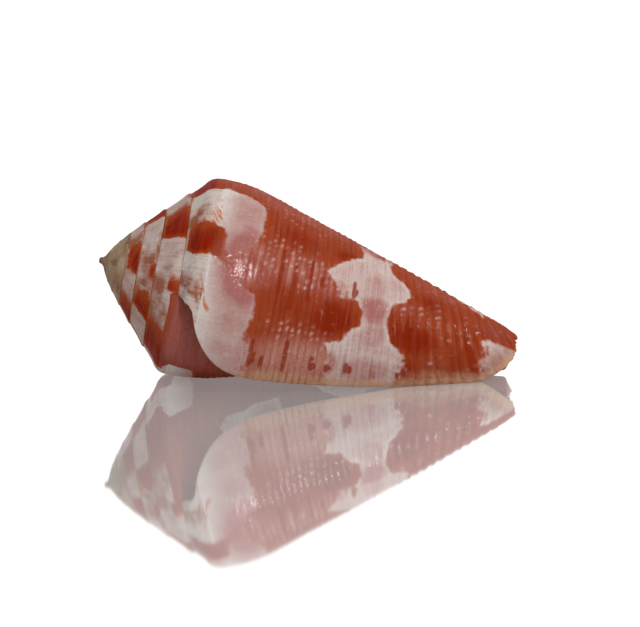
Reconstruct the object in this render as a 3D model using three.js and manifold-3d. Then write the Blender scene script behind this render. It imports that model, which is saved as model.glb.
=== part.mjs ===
// A cone shell: one tube of shell, coiled from the pointed apex to the thin outer lip.
// Millimetres, +Z up. It lies on its aperture, with the apex raised towards -X, the narrow
// front end towards +X and the outer lip towards -Y. Turns are counted back from the lip.
import * as THREE from "three";
import { ParametricGeometry } from "three/addons/geometries/ParametricGeometry.js";
import { mergeGeometries, mergeVertices } from "three/addons/utils/BufferGeometryUtils.js";
import Module from "manifold-3d";

// Coil and spire
const shellLength = 25;
const lipShoulderRadius = 6.73;
const coilRate = 0.36;
const lateSlowing = 0.227;
const slowingTurns = 1.8;
const spireRounding = 1.23;
const nippleHeight = 0.31;
const spireTurns = 8;
const sutureStep = 0.02;
const lipSutureDrop = 0.25;
const lipDropTurns = [1.1, 1.45];

// Body of the last whorl: shares of the way from the shoulder to the front end, and of its radius
const bodyShares = [0, 0.125, 0.3, 0.6, 1];
const bodyRadii = [1, 0.98, 0.835, 0.577, 0.211];
const frontFlare = 3;
const backTurn = 0.42;
const frontRetreat = 0.8;
const retreatTurns = 1.5;
const columellaTip = 0.35;

// Outer lip and aperture
const wallThickness = 0.4;
const notchTurns = 0.095;
const notchReach = 0.075;
const lipSlant = 0.035;
const frontCornerTurns = 0.16;
const frontCornerStart = 0.88;
const frontCornerCurve = 2;
const innerSutureShare = 0.045;

// Resting pose, and the depth worn off the two spots that it lies on
const lipAngle = -45;
const restPitch = 13.6;
const restWear = 0.12;
const cutterSize = 60;

// Facets
const turnFacets = 48;
const rampRows = 3;
const bodyRows = 13;
const apertureFacets = 34;
const weldDistance = 1e-4;

const bodyOutline = new THREE.CubicInterpolant(bodyShares, bodyRadii, 1);
const shellMaterial = new THREE.MeshStandardMaterial({ color: 0x9a4030, roughness: 0.3, metalness: 0 });

// The outline is worked out as Vector2 points: distance from the apex along the axis, and radius
function shoulderRadius(turn) {
  const slowed = lateSlowing * slowingTurns * (1 - Math.exp(-turn / slowingTurns));
  return lipShoulderRadius * Math.exp(slowed - coilRate * turn);
}

function shoulderHeight(turn) {
  return Math.hypot(shoulderRadius(turn), spireRounding) - spireRounding + nippleHeight;
}

// The front end draws back round the columella
function frontHeight(turn) {
  return shellLength - frontRetreat * THREE.MathUtils.clamp(turn - backTurn, 0, retreatTurns) ** 2;
}

// The side of the whorl, from its shoulder (share 0) to its front end (share 1)
function bodyPoint(turn, share) {
  const radius = shoulderRadius(turn);
  const [taper] = bodyOutline.evaluate(share);
  const flare = (radius / shoulderRadius(backTurn)) ** (frontFlare * share);
  const height = THREE.MathUtils.lerp(shoulderHeight(turn), frontHeight(turn), share);
  return new THREE.Vector2(height, radius * taper * flare);
}

// Where the next whorl is laid on: just in front of the shoulder, and lower close to the lip
function sutureShare(turn) {
  const drop = lipSutureDrop * (1 - THREE.MathUtils.smoothstep(turn, ...lipDropTurns));
  return (sutureStep * shoulderRadius(turn) + drop) / (frontHeight(turn) - shoulderHeight(turn));
}

// The sloping top of the whorl, from its suture (share 0) to its shoulder (share 1)
function rampPoint(turn, share) {
  const suture = bodyPoint(turn + 1, sutureShare(turn + 1));
  return suture.lerp(bodyPoint(turn, 0), share);
}

// Turns by which the lip edge stands back, in the notch at the suture and at the front corner
function lipTurn(share) {
  const notch = notchTurns * Math.exp(-share / notchReach);
  const corner = Math.max(0, (share - frontCornerStart) / (1 - frontCornerStart));
  return notch + lipSlant * (1 - share) + frontCornerTurns * corner ** frontCornerCurve;
}

// Rows of the outline, from the suture over the shoulder to the front end
const sutureEnd = lipTurn(0);
const stepRow = rampRows + 1;
const innerSutureRow = rampRows + 2;
const lastRow = innerSutureRow + bodyRows;

function bodyShare(row) {
  return THREE.MathUtils.lerp(innerSutureShare, 1, (row - innerSutureRow) / bodyRows);
}

function outlinePoint(turn, row) {
  if (row <= rampRows) {
    return rampPoint(turn, row / rampRows);
  }
  return bodyPoint(turn, row === stepRow ? sutureShare(turn) : bodyShare(row));
}

// The inside of the wall: the outline moved in by the thickness, and closed onto the whorl before
function innerPoint(turn, row) {
  if (row === 0) {
    return bodyPoint(turn + 1, innerSutureShare);
  }
  const before = outlinePoint(turn, row - 1);
  const after = outlinePoint(turn, Math.min(row + 1, lastRow));
  const along = after.sub(before).setLength(wallThickness);
  return outlinePoint(turn, row).add(new THREE.Vector2(along.y, -along.x));
}

// Columns run back round the coil from the lip edge, one turn of them over the last whorl
function columnTurn(column, row) {
  const edge = row <= stepRow ? sutureEnd : lipTurn(bodyShare(row));
  return edge + (column / turnFacets) * (1 + sutureEnd - edge);
}

function place(turn, point) {
  const angle = THREE.MathUtils.degToRad(lipAngle + 360 * turn);
  return new THREE.Vector3(point.x, -point.y * Math.cos(angle), point.y * Math.sin(angle));
}

function coilVertex(column, row) {
  const turn = sutureEnd + column / turnFacets;
  return place(turn, outlinePoint(turn, row));
}

function outerVertex(column, row) {
  const turn = columnTurn(column, row);
  return place(turn, outlinePoint(turn, row));
}

function innerVertex(column, row) {
  const turn = columnTurn(column, row);
  return place(turn, innerPoint(turn, row));
}

// A sheet of quads over whole columns and rows
function sheet(columns, rows, vertexAt) {
  const onGrid = (u, v, target) => target.copy(vertexAt(Math.round(u * columns), Math.round(v * rows)));
  return new ParametricGeometry(onGrid, columns, rows);
}

function fan(ring, centre) {
  return sheet(ring.length - 1, 1, (column, row) => (row === 0 ? ring[column] : centre));
}

function countUp(first, last) {
  return Array.from({ length: last - first + 1 }, (_, index) => first + index);
}

// The spire: the ramps of all whorls, each closed onto the one before at its suture
function spireSheet() {
  const columns = turnFacets * spireTurns;
  return sheet(columns, stepRow, (column, row) => coilVertex(columns - column, row));
}

function apexCap() {
  const last = turnFacets * spireTurns;
  const suture = countUp(last - turnFacets, last).map((column) => coilVertex(column, 0));
  const end = countUp(1, stepRow).map((row) => coilVertex(last, row));
  return fan([...suture, ...end], new THREE.Vector3());
}

function bodySheet() {
  const vertexAt = (column, row) => outerVertex(turnFacets - column, stepRow + row);
  return sheet(turnFacets, lastRow - stepRow, vertexAt);
}

// The aperture: the whorl before as its near wall, the inside of the last whorl as its far wall
function parietalSheet() {
  const last = turnFacets + apertureFacets;
  const vertexAt = (column, row) => coilVertex(last - column, innerSutureRow + row);
  return sheet(apertureFacets, bodyRows, vertexAt);
}

function innerSheet() {
  return sheet(apertureFacets, lastRow, innerVertex);
}

function lipFace() {
  return sheet(1, lastRow, (side, row) => (side === 0 ? outerVertex(0, row) : innerVertex(0, row)));
}

function frontRim() {
  return sheet(apertureFacets, 1, (column, side) =>
    side === 0 ? innerVertex(column, lastRow) : outerVertex(column, lastRow),
  );
}

function apertureEnd() {
  const far = countUp(0, lastRow).map((row) => [innerPoint, columnTurn(apertureFacets, row), row]);
  const endTurn = 1 + sutureEnd + apertureFacets / turnFacets;
  const near = countUp(innerSutureRow + 1, lastRow).map((row) => [outlinePoint, endTurn, row]);
  const loop = [...far, ...near.reverse()];
  const flat = loop.map(([pointAt, turn, row]) => pointAt(turn, row));
  const corners = loop.map(([pointAt, turn, row]) => place(turn, pointAt(turn, row)));
  const geometry = new THREE.BufferGeometry().setFromPoints(corners);
  return geometry.setIndex(THREE.ShapeUtils.triangulateShape(flat, []).flat());
}

function frontCap() {
  const outside = countUp(apertureFacets, turnFacets).map((column) => outerVertex(column, lastRow));
  const inside = countUp(1, apertureFacets).map((column) => coilVertex(turnFacets + column, lastRow));
  const rimEnd = [innerVertex(apertureFacets, lastRow), outerVertex(apertureFacets, lastRow)];
  const tip = new THREE.Vector3(frontHeight(1) + columellaTip, 0, 0);
  return fan([...outside, ...inside, ...rimEnd].reverse(), tip);
}

// Joins sheets that share their edges into one closed skin of distinct corners
function weld(sheets) {
  for (const geometry of sheets) {
    geometry.deleteAttribute("normal");
    geometry.deleteAttribute("uv");
  }
  const skin = mergeVertices(mergeGeometries(sheets), weldDistance);
  const index = skin.getIndex().array;
  const kept = [];
  for (let i = 0; i < index.length; i += 3) {
    const corners = [index[i], index[i + 1], index[i + 2]];
    if (new Set(corners).size === 3) {
      kept.push(...corners);
    }
  }
  return skin.setIndex(kept);
}

function toSolid(wasm, geometry) {
  const vertProperties = new Float32Array(geometry.getAttribute("position").array);
  const triVerts = new Uint32Array(geometry.getIndex().array);
  return new wasm.Manifold(new wasm.Mesh({ numProp: 3, vertProperties, triVerts }));
}

function toGeometry(solid) {
  const { vertProperties, triVerts } = solid.getMesh();
  const geometry = new THREE.BufferGeometry();
  geometry.setAttribute("position", new THREE.BufferAttribute(vertProperties, 3));
  geometry.setIndex(new THREE.BufferAttribute(triVerts, 1));
  geometry.computeVertexNormals();
  return geometry;
}

// Lays the shell down on its lip and its belly, with the middle of its box over the origin
function layDown(skin) {
  skin.rotateY(THREE.MathUtils.degToRad(restPitch));
  skin.computeBoundingBox();
  const middle = skin.boundingBox.getCenter(new THREE.Vector3());
  return skin.translate(-middle.x, -middle.y, -skin.boundingBox.min.z - restWear);
}

const wasm = await Module();
wasm.setup();

const skin = weld([
  spireSheet(),
  apexCap(),
  bodySheet(),
  parietalSheet(),
  innerSheet(),
  lipFace(),
  frontRim(),
  apertureEnd(),
  frontCap(),
]);
const ground = new THREE.BoxGeometry(cutterSize, cutterSize, cutterSize);
ground.translate(0, 0, -cutterSize / 2);
const worn = toSolid(wasm, layDown(skin)).subtract(toSolid(wasm, weld([ground])));

const shell = new THREE.Mesh(toGeometry(worn), shellMaterial);
shell.name = "shell";

const coneShell = new THREE.Group();
coneShell.add(shell);

export default coneShell;
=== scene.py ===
import math
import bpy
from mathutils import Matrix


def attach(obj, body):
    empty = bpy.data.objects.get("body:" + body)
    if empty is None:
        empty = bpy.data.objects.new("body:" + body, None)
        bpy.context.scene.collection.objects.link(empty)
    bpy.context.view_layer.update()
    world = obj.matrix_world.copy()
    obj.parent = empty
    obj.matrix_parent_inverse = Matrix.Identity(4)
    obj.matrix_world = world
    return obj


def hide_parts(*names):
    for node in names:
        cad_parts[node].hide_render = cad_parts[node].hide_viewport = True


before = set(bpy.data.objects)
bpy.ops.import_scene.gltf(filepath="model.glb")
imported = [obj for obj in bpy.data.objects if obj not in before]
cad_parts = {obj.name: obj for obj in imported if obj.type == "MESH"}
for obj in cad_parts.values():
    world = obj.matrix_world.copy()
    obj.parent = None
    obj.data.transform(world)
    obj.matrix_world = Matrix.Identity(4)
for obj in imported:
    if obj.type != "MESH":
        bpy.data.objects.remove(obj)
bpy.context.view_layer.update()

from types import SimpleNamespace

import bmesh
import bpy
import numpy as np
from mathutils import Vector, kdtree

mm = 0.001
print("frame loaded:", ", ".join(sorted(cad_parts)))


# The coil, in millimetres. Turns are counted back from the outer lip
coil = {
    "length": 25.0,
    "lipRadius": 6.73,
    "growth": 0.36,
    "lateSlowing": 0.227,
    "slowingTurns": 1.8,
    "spireRounding": 1.23,
    "nippleHeight": 0.31,
    "spireTurns": 7,
    "sideShares": (0, 0.125, 0.3, 0.6, 1),  # from the shoulder to the front end
    "sideRadii": (1, 0.98, 0.835, 0.577, 0.211),
    "frontFlare": 3,
    "backTurn": 0.42,
    "frontRetreat": 0.8,
    "retreatTurns": 1.5,
    "sutureStep": 0.02,
    "rampBend": 0.08,  # the shoulder's round, as shares of its radius
    "sideBend": 0.11,
    "earlyBend": 0.5,  # of that, on the earlier whorls
    "earlyTurns": (0.9, 1.5),
    "laidOn": 0.55,  # how far over that round the next whorl is laid
    "laidOnAtLip": 0.85,
    "rampHollow": 0.01,  # as a share of its radius
    "lipDropTurns": (1.1, 1.45),
    "lipAngle": math.radians(-45),
    "restPitch": math.radians(13.6),
    "restOffset": (-12.312, 0.298, 6.929),
    "nearTurn": 0.2,  # the turn that faces the viewer
    "cordLean": 0.5,  # how spiral lines lean towards the front near the lip
}

# The outer lip, the wall and the aperture
lip = {
    "notchTurns": 0.095,
    "notchReach": 0.075,
    "slant": 0.035,
    "sutureTurn": 0.137,
    "rampPart": 0.8,  # of the way from there to the notch, with the rest on the shoulder
    "cornerTurns": 0.16,
    "cornerStart": 0.88,
    "thickness": 0.17,
    "wall": 0.42,
    "thickenTurns": 0.12,
    "depth": 0.7,  # of the last turn
    "frontRound": 0.012,
    "chips": 0.16,  # how deep the front edge is chipped
    "chipWaves": ((1, 47, 1.3), (0.7, 113, 0), (0.6, 201, 0.7)),  # size, pace and start
    "chipMean": 0.3,
    "chipSwing": 0.45,
    "chipShares": (0.975, 1),
    "chipTurns": (0.5, 0.7),
    "edgeStep": 0.001,  # turns, to find which way the edge faces
    "columellaTip": 0.35,
}

# How finely each sheet is divided
mesh = {
    "turnColumns": 320,
    "rampRows": 5,
    "bendRows": 3,
    "lowBendRows": 3,
    "sideRows": 186,
    "insideColumns": 28,
    "mergeDistance": 1e-6,
    "smoothAngle": math.radians(50),
}

stepRow = mesh["rampRows"] + mesh["bendRows"]
sideRow = stepRow + mesh["lowBendRows"]
innerRow = sideRow + 1
lastRow = sideRow + mesh["sideRows"]
lipSteps = innerRow - stepRow
rimColumn = round(mesh["turnColumns"] * lip["depth"])


def lerp(low, high, share):
    return low + (high - low) * share


def smooth(value, low, high):
    share = np.clip((value - low) / (high - low), 0, 1)
    return share * share * (3 - 2 * share)


def unit(vectors):
    return vectors / np.linalg.norm(vectors, axis=-1, keepdims=True)


def shoulderRadius(turn):
    slowed = coil["lateSlowing"] * coil["slowingTurns"] * (1 - np.exp(-turn / coil["slowingTurns"]))
    return coil["lipRadius"] * np.exp(slowed - coil["growth"] * turn)


def shoulderHeight(turn):
    rounding = coil["spireRounding"]
    return np.hypot(shoulderRadius(turn), rounding) - rounding + coil["nippleHeight"]


def frontHeight(turn):
    drawnBack = np.clip(turn - coil["backTurn"], 0, coil["retreatTurns"])
    return coil["length"] - coil["frontRetreat"] * drawnBack**2


# A smooth curve through the outline's points, its slope there the mean of the chords beside it
def sideOutline(share):
    knots = np.array(coil["sideShares"])
    radii = np.array(coil["sideRadii"])
    chords = np.diff(radii) / np.diff(knots)
    slopes = np.concatenate((chords[:1], (chords[1:] + chords[:-1]) / 2, chords[-1:]))
    span = np.clip(np.searchsorted(knots, share) - 1, 0, len(chords) - 1)
    step = knots[span + 1] - knots[span]
    p = (share - knots[span]) / step
    start = radii[span] * (1 + 2 * p) * (1 - p) ** 2 + slopes[span] * step * p * (1 - p) ** 2
    end = radii[span + 1] * p**2 * (3 - 2 * p) + slopes[span + 1] * step * p**2 * (p - 1)
    return start + end


# How much is broken away along the front edge, from none (0) to a whole chip (1)
def chips(turn):
    waves = sum(size * np.sin(pace * turn + start) for size, pace, start in lip["chipWaves"])
    return np.clip(lip["chipMean"] + lip["chipSwing"] * waves, 0, 1)


# Points of the outline are (distance from the apex along the axis, radius)
def sidePoint(turn, share, chipped=1):
    turn, share = np.broadcast_arrays(np.asarray(turn, float), share)
    radius = shoulderRadius(turn)
    flare = (radius / shoulderRadius(coil["backTurn"])) ** (coil["frontFlare"] * share)
    edge = np.clip((share - 1 + lip["frontRound"]) / lip["frontRound"], 0, 1)
    rounded = radius * sideOutline(share) * flare - 0.5 * lip["thickness"] * edge**2
    broken = chipped * lip["chips"] * smooth(share, *lip["chipShares"])
    broken = broken * (1 - smooth(turn, *lip["chipTurns"])) * chips(turn)
    return np.stack((lerp(shoulderHeight(turn), frontHeight(turn), share) - broken, rounded), -1)


def bendSize(turn):
    return lerp(1, coil["earlyBend"], smooth(turn, *coil["earlyTurns"])) * shoulderRadius(turn)


def bendShare(turn):
    return coil["sideBend"] * bendSize(turn) / (frontHeight(turn) - shoulderHeight(turn))


# The rounded shoulder, from the ramp (0) to the side (1)
def shoulderBend(turn, bend):
    corner = sidePoint(turn, 0.0)
    before = turn + 1
    rise = coil["sutureStep"] * shoulderRadius(before) / (frontHeight(before) - shoulderHeight(before))
    upRamp = unit(sidePoint(before, rise) - corner)
    start = corner + upRamp * coil["rampBend"] * bendSize(turn)[..., None]
    end = sidePoint(turn, bendShare(turn))
    bend = np.asarray(bend)[..., None]
    return (1 - bend) ** 2 * start + 2 * bend * (1 - bend) * corner + bend**2 * end


def laidOn(turn):
    return lerp(coil["laidOnAtLip"], coil["laidOn"], smooth(turn, *coil["lipDropTurns"]))


def sutureLine(turn):
    return shoulderBend(turn + 1, laidOn(turn + 1))


def sideShare(turn, row):
    return lerp(bendShare(turn), 1, np.maximum(row - sideRow, 0) / mesh["sideRows"])


# How far round the shoulder a row lies, where the next whorl is laid on at the given share
def rowBend(row, laid):
    upper = laid * np.clip((row - mesh["rampRows"]) / mesh["bendRows"], 0, 1)
    return upper + (1 - laid) * np.clip((row - stepRow) / mesh["lowBendRows"], 0, 1)


# Rows of the outline run from the suture, over the ramp and the shoulder, to the front end
def outlinePoint(turn, row, chipped=1):
    turn, row = np.broadcast_arrays(np.asarray(turn, float), np.asarray(row, float))
    onRamp = np.clip(row / mesh["rampRows"], 0, 1)[..., None]
    ramp = lerp(sutureLine(turn), shoulderBend(turn, np.zeros_like(turn)), onRamp)
    ramp[..., 0] += coil["rampHollow"] * shoulderRadius(turn) * 4 * (onRamp * (1 - onRamp))[..., 0]
    shoulder = shoulderBend(turn, rowBend(row, laidOn(turn)))
    side = sidePoint(turn, sideShare(turn, row), chipped)
    row = row[..., None]
    return np.where(row <= mesh["rampRows"], ramp, np.where(row <= sideRow, shoulder, side))


def lipTurn(share):
    notch = lip["notchTurns"] * np.exp(-share / lip["notchReach"])
    corner = np.clip((share - lip["cornerStart"]) / (1 - lip["cornerStart"]), 0, 1)
    return notch + lip["slant"] * (1 - share) + lip["cornerTurns"] * corner**2


sutureEnd = lip["sutureTurn"]


# Where the lip edge stands on each row
def edgeTurn(row):
    row = np.asarray(row, float)
    bend = rowBend(row, coil["laidOnAtLip"])
    share = np.where(row <= sideRow, np.maximum(2 * bend - 1, 0) * bendShare(0.0), sideShare(0.0, row))
    passed = lerp(np.minimum(2 * bend, 1), np.clip(row / mesh["rampRows"], 0, 1), lip["rampPart"])
    return lerp(lipTurn(share), sutureEnd, 1 - passed)


def columnTurn(column, row):
    edge = edgeTurn(row)
    return edge + column / mesh["turnColumns"] * (1 + sutureEnd - edge)


# The inside of the wall, thin at the lip, closed onto the whorl before along its own suture
def insidePoint(turn, row):
    turn, row = np.broadcast_arrays(np.asarray(turn, float), np.asarray(row, float))
    kept = np.maximum(row, 1.5)  # the first row would run into the whorl before
    along = unit(outlinePoint(turn, kept + 0.5, 0) - outlinePoint(turn, kept - 0.5, 0))
    inward = np.stack((along[..., 1], -along[..., 0]), -1)
    thickness = lerp(lip["thickness"], lip["wall"], smooth(turn - edgeTurn(row), 0, lip["thickenTurns"]))
    wall = outlinePoint(turn, kept, 0) + inward * thickness[..., None]
    suture = sidePoint(turn + 1, sideShare(turn + 1, innerRow))
    return np.where(row[..., None] < 1, suture, wall)


# Puts points of the outline round the axis, and lays the shell down as it rests
def place(turn, point):
    angle = coil["lipAngle"] + 2 * np.pi * np.asarray(turn)
    along, radius = point[..., 0], point[..., 1]
    across, up = -radius * np.cos(angle), radius * np.sin(angle)
    cosPitch, sinPitch = math.cos(coil["restPitch"]), math.sin(coil["restPitch"])
    turned = np.stack((along * cosPitch + up * sinPitch, across, up * cosPitch - along * sinPitch), -1)
    return (turned + coil["restOffset"]) * mm


farthest = 3.0  # distances to marks are cut off here

# The marks, given as places on the last whorl: (share from the shoulder to the front, turn)
marks = {
    "shoulderPatch": (
        (-0.03, 0.0), (-0.03, 0.07), (0, 0.068), (0.045, 0.075), (0.1, 0.068), (0.145, 0.058),
        (0.162, 0.053), (0.168, 0.035), (0.166, 0), (0.15, -0.03), (0.11, -0.045), (0.07, -0.045),
        (0.056, -0.012), (0, -0.007),
    ),
    # turn, and stretches in share and in turn; the last, on the bottom edge, is partly the shell's own pale
    # patch and partly a painted reflection of the floor
    "shoulderPlaces": (
        (0.262, 1, 1), (0.48, 1.1, 1.1), (0.635, 0.9, 1.2), (0.79, 1.05, 1.1), (0.92, 0.6, 0.9),
    ),
    "lipPatch": (
        (-0.03, 0.1), (-0.03, 0.2), (0, 0.207), (0.05, 0.203), (0.1, 0.187), (0.145, 0.171), (0.175, 0.165),
        (0.181, 0.15), (0.178, 0.1), (0.187, 0.07), (0.18, -0.05), (-0.03, -0.05),
    ),
    "tents": (
        (0.45, -0.05), (0.44, 0.05), (0.43, 0.09), (0.408, 0.112), (0.455, 0.118), (0.472, 0.135),
        (0.5, 0.152), (0.505, 0.185), (0.48, 0.198), (0.43, 0.208), (0.4, 0.222), (0.372, 0.238),
        (0.4, 0.256), (0.432, 0.274), (0.455, 0.294), (0.48, 0.304), (0.485, 0.4), (0.555, 0.4),
        (0.57, 0.309), (0.588, 0.292), (0.622, 0.286), (0.642, 0.25), (0.622, 0.23), (0.592, 0.215),
        (0.576, 0.175), (0.6, 0.143), (0.625, 0.117), (0.665, 0.101), (0.66, 0.07), (0.65, 0.045),
        (0.64, -0.05),
    ),
    "frontPatch": (
        (0.882, 0.185), (0.9, 0.205), (0.93, 0.2), (1.02, 0.2), (1.02, -0.05), (0.925, -0.05),
        (0.915, 0.05), (0.905, 0.1), (0.895, 0.145),
    ),
    "tentShape": (
        (-0.03, 0), (-0.08, -0.022), (-0.1, -0.042), (-0.145, -0.062), (-0.17, -0.077), (-0.13, -0.1),
        (-0.07, -0.109), (-0.028, -0.127), (0.048, -0.137), (0.06, -0.102), (0.09, -0.084), (0.115, -0.062),
        (0.092, -0.027), (0.055, -0.024), (0.03, -0.003),
    ),
    # share, turn, and the same stretches
    "tentPlaces": (
        (0.5, 0.53, 1, 1), (0.57, 0.67, 0.9, 1.1), (0.48, 0.82, 1.1, 1), (0.55, 0.97, 1, 1.1),
        (0.86, 0.46, 0.4, 1), (0.84, 0.63, 0.5, 0.9), (0.87, 0.78, 0.4, 1.1), (0.85, 0.95, 0.5, 1),
        (0.3, 1.1, 0.8, 1),
    ),
    # rust checks on the pale ramp: first turn, last turn, and the shares across it if not the whole
    "rampChecks": (
        (0.205, 0.262, 0.08, 2), (0.335, 0.5), (0.55, 0.64), (0.71, 0.79), (0.87, 0.92, 0.3, 2),
        (0.96, 1.065), (1.14, 1.165, 0.55, 2), (1.24, 1.318), (1.43, 1.49), (1.54, 1.62), (1.69, 1.77),
        (1.85, 1.95), (2.05, 2.112), (2.152, 2.185, 0.5, 0.95), (2.328, 2.5), (2.58, 2.66), (2.74, 2.83),
        (2.96, 3.05), (3.148, 3.25, 0.1, 2), (3.5, 3.6), (3.7, 3.8), (4.05, 4.1, 0, 0.7),
        (4.22, 4.27, 0.4, 0.9),
    ),
    # and fainter stains
    "rampStains": (
        (0.148, 0.168), (0.25, 0.275, -1, 0.4), (1.055, 1.1), (1.09, 1.15, -1, 0.4), (1.31, 1.33, 0.3, 2),
        (1.36, 1.42, 0.75, 2), (2.14, 2.205, 0.15, 2), (2.19, 2.27, 0.7, 2), (2.12, 2.14), (3.03, 3.065),
        (3.235, 3.29), (3.3, 3.4, 0.75, 2), (4.0, 4.12), (0.27, 0.29, 0.3, 0.8), (2.34, 2.4, -1, 0.3),
    ),
    "wholeRamp": (-1, 2),
    "rampSlant": 0.012,
    "rampFade": 0.35,  # how slowly a check fades at its later end
    "checkDeep": 1.1,
    "checkEdge": 0.1,
    "rampBlush": (0.2, 0.35),  # the least, and what chance adds
    "rampBlushTurns": (0.2, 1.1),
    "stainEdge": (-0.1, 0.15),
    "shoulderBand": (0.75, 1),  # of the last ramp, where the marks of the side go on
    # soft spots: share, turn, reach in share, reach in turns, strength
    "blush": (
        (0.41, 0.215, 0.06, 0.026, 0.85), (0.54, 0.19, 0.1, 0.055, 0.95), (0.53, 0.245, 0.08, 0.06, 0.6),
        (0.55, 0.14, 0.09, 0.05, 0.7), (0.55, 0.06, 0.14, 0.06, 0.8), (0.52, 0.36, 0.08, 0.045, 1),
        (0.15, 0.1, 0.14, 0.16, 0.7), (0.14, 0.04, 0.16, 0.06, 0.65), (0.43, 0.07, 0.05, 0.05, 1.1),
        (0.96, 0.1, 0.045, 0.12, 0.7), (0.92, 0.05, 0.04, 0.08, 0.9),
    ),
    # the same, with turns counted from each place
    "shoulderBlush": ((0.14, 0.03, 0.13, 0.12, 0.72), (0.13, -0.06, 0.14, 0.12, 1.1)),
    "tentBlush": (0.01, -0.09, 0.07, 0.09, 0.75),
    "blushGround": 0.45,  # on the side, and the shares over which it sets in
    "groundShares": (0.2, 0.3),
    "blushFringes": (0.9, 0.6),  # along an edge, on the shoulder and on the side
    "fringeWidth": (0.02, 0.35),
    # where the edges of the patches fade
    "faded": (
        (0.42, 0.205, 0.07, 0.03, 1), (0.43, 0.07, 0.05, 0.045, 1), (0.52, 0.36, 0.12, 0.05, 1),
        (0.185, 0.07, 0.05, 0.09, 1), (0.91, 0.11, 0.07, 0.14, 1), (0.65, 0.07, 0.06, 0.07, 1),
    ),
    "shoulderFaded": (0.115, -0.055, 0.07, 0.04, 1),
    "fadedSlope": 0.1,
    "spotCore": 0.25,  # of its reach
    "deep": (
        (0.42, 0.155, 0.11, 0.045, 1.1), (0.67, 0.145, 0.1, 0.06, 1.1), (0.44, 0.285, 0.07, 0.03, 0.8),
        (0.27, 0.275, 0.12, 0.035, 0.6), (0.02, 0.23, 0.07, 0.035, 0.8), (0.84, 0.12, 0.07, 0.05, 0.4),
        (0.28, 0.165, 0.12, 0.035, 0.35), (0.7, 0.26, 0.08, 0.03, 0.6), (0.93, 0.26, 0.07, 0.05, 0.6),
    ),
    "haze": (
        (0.32, 0.22, 0.22, 0.045, 0.95), (0.14, 0.21, 0.14, 0.05, 1.2), (0.36, 0.075, 0.24, 0.055, 1.3),
        (0.45, 0.05, 0.3, 0.04, 0.6), (0.25, 0.36, 0.3, 0.05, 0.45), (0.93, 0.26, 0.08, 0.06, 0.3),
        (0.06, 1.06, 0.3, 0.14, 1.2), (0.62, 0.215, 0.05, 0.025, 0.5), (0.75, 0.33, 0.14, 0.05, 0.4),
        (0.3, 0.48, 0.14, 0.04, 0.7), (0.3, 0.74, 0.14, 0.04, 0.7), (0.75, 0.55, 0.1, 0.04, 0.6),
        (0.75, 0.86, 0.1, 0.04, 0.6),
    ),
    # pale bead tips, partly painted highlights along the lines where the beads glint
    "dots": (
        (0.26, 0.235, 0.2, 0.045, 0.9), (0.42, 0.218, 0.09, 0.035, 1.2), (0.65, 0.218, 0.08, 0.03, 0.8),
        (0.79, 0.235, 0.14, 0.05, 0.35), (0.32, 0.122, 0.2, 0.02, 1.1), (0.35, 0.08, 0.25, 0.04, 0.4),
        (0.72, 0.1, 0.07, 0.02, 0.6), (0.3, 0.33, 0.2, 0.04, 0.4), (0.4, 0.49, 0.4, 0.04, 0.8),
        (0.4, 0.75, 0.4, 0.04, 0.8),
    ),
    "dotPull": 0.9,  # how much a spot helps a bead to be chosen
    "dotChoice": (0.75, 1.7),
    "dotReach": (0.55, 0.35),  # of the least bead, and what its size adds
    # tan stains on the pale front end
    "tan": ((0.95, 0.1, 0.07, 0.12, 0.6), (0.92, 0.04, 0.06, 0.1, 0.6), (0.98, 0.2, 0.06, 0.08, 0.7)),
    "threads": (
        (0.78, 0.185, 0.13, 0.06, 0.65), (0.62, 0.17, 0.04, 0.03, 0.6), (0.74, 0.11, 0.09, 0.03, 0.5),
        (0.47, 0.17, 0.02, 0.03, 0.5), (0.78, 0.5, 0.13, 0.05, 0.8), (0.78, 0.8, 0.13, 0.05, 0.8),
    ),
    # dark dashes along the spiral: share, first turn, last turn
    "dashes": (
        (0.2, 0.052, 0.105), (0.212, 0.06, 0.09), (0.236, 0.05, 0.08), (0.24, 0.17, 0.25),
        (0.303, 0.045, 0.11), (0.285, 0.15, 0.24), (0.33, 0.17, 0.25), (0.366, 0.2, 0.228),
        (0.385, 0.052, 0.088), (0.394, 0.055, 0.075), (0.432, 0.05, 0.075), (0.442, 0.055, 0.07),
        (0.466, 0.198, 0.24), (0.474, 0.205, 0.225), (0.49, 0.05, 0.08), (0.503, 0.048, 0.074),
        (0.53, 0.137, 0.147), (0.65, 0.035, 0.066), (0.665, 0.04, 0.08), (0.68, 0.06, 0.1),
        (0.8, 0.06, 0.2), (0.85, 0.06, 0.2), (0.875, 0.04, 0.18),
    ),
    "dashWidth": 0.17,  # half of it, and how far the ends fade
    "dashEnd": 0.3,
    "dashFade": (-1, 0.3),
    "strokeCore": 0.4,  # of the width
    # ochre strokes: from share and turn to share and turn, and half their width
    "ochre": (
        (0.004, 0.157, 0.05, 0.131, 0.15), (0.004, 0.278, 0.03, 0.273, 0.17),
        (0.016, 0.288, 0.026, 0.287, 0.13), (0.03, 0.268, 0.036, 0.264, 0.17),
        (-0.01, 0.262, 0.005, 0.259, 0.15), (0.01, 0.3, 0.018, 0.299, 0.1),
        (0.018, 0.26, 0.03, 0.256, 0.13), (0.0, 0.271, 0.012, 0.266, 0.12),
    ),
    "marginTurns": (0.005, 0.04),
    "frontMarginTurns": (0.005, 0.1),
    "marginShares": (0.12, 0.25),  # where it sets in, and where it widens
    "widerShares": (0.6, 0.8),
    "farTurns": (0.38, 0.5),  # where the far side begins
    "besidePatch": (0.3, 1.6),
    "apexTurns": (3.3, 4.6),
}

sideLength = coil["length"] - float(shoulderHeight(0.0))


def spiralShare(turn, share):
    return share + coil["cordLean"] * share**2 * (turn - coil["nearTurn"])


def turnLength(share):
    return 2 * np.pi * shoulderRadius(coil["nearTurn"]) * sideOutline(np.clip(share, 0, 1))


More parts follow.
